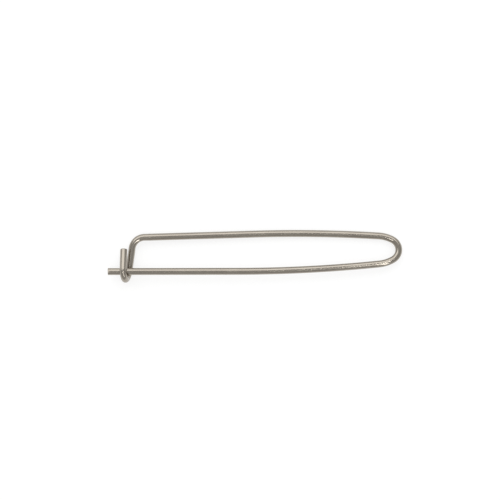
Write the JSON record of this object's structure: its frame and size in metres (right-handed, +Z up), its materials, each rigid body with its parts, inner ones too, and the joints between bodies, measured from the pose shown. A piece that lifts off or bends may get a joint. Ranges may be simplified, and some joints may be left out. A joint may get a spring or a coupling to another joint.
{
  "type": "safety clip",
  "caption": "Safety clip bent from round spring wire: a long narrow loop whose straight pin leg is held closed by a hook at the end of the other leg.",
  "frame": {"origin": "centre of the box's footprint, on the surface that the clip lies on", "axes": "+X along the pin leg, from its cut end towards the nose; +Y from the pin leg towards the back leg; +Z up, as it comes to rest on a table"},
  "size_m": [0.069, 0.0124, 0.0053],
  "materials": {
    "spring_steel": "bright drawn spring wire with a faint warm tint, satin"
  },
  "bodies": {
    "root": {"clip_wire": "spring_steel"}
  },
  "joints": []
}
